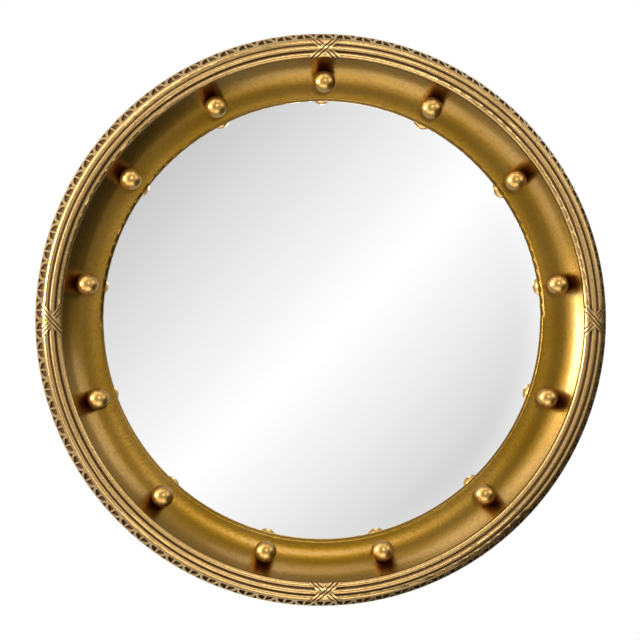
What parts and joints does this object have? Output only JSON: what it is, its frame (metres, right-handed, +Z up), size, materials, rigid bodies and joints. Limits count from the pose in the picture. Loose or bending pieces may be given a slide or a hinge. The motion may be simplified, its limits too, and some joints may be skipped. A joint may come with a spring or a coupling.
{
  "type": "convex butlers mirror",
  "caption": "Round convex wall mirror in a gilt coved frame with balls in the cove, a reeded rim with crossed ribbons and a leaf border, hung from a ring on its back.",
  "frame": {"origin": "on the wall plane, behind the middle of the glass", "axes": "+Z up, +Y towards the wall, the glass faces -Y, +X to the viewer's right"},
  "size_m": [0.42, 0.0425, 0.4199],
  "materials": {
    "gilt_wood": "gilded, satin",
    "gilt_composition": "gilded, satin",
    "gilt_ball": "gilded, burnished",
    "mirror_glass": "silvered",
    "card": "matt",
    "board": "bare hardboard",
    "steel": "bright",
    "brass": "lacquered",
    "bumper_rubber": "matt"
  },
  "bodies": {
    "mirror": {"frame_ring": "gilt_wood", "reeded_band": "gilt_composition", "leaf_border": "gilt_composition", "mirror_glass": "mirror_glass", "packing_ring": "card", "backing_board": "board", "board_pins": "steel", "hanger_strap": "brass", "hanger_screws": "brass", "wall_bumpers": "bumper_rubber", "ball_01": "gilt_ball", "ball_02": "gilt_ball", "ball_03": "gilt_ball", "ball_04": "gilt_ball", "ball_05": "gilt_ball", "ball_06": "gilt_ball", "ball_07": "gilt_ball", "ball_08": "gilt_ball", "ball_09": "gilt_ball", "ball_10": "gilt_ball", "ball_11": "gilt_ball", "ball_12": "gilt_ball", "ball_13": "gilt_ball", "ribbon_tie_top": "gilt_composition", "ribbon_tie_right": "gilt_composition", "ribbon_tie_foot": "gilt_composition", "ribbon_tie_left": "gilt_composition"},
    "hanger_ring": {"hanger_ring": "brass"}
  },
  "joints": [
    {"name": "ring_hinge", "type": "hinge", "parent": "mirror", "child": "hanger_ring", "pos_m": [0, -0.00304, 0.191], "axis": [-1, 0, 0], "range_deg": [0, 184]}
  ]
}
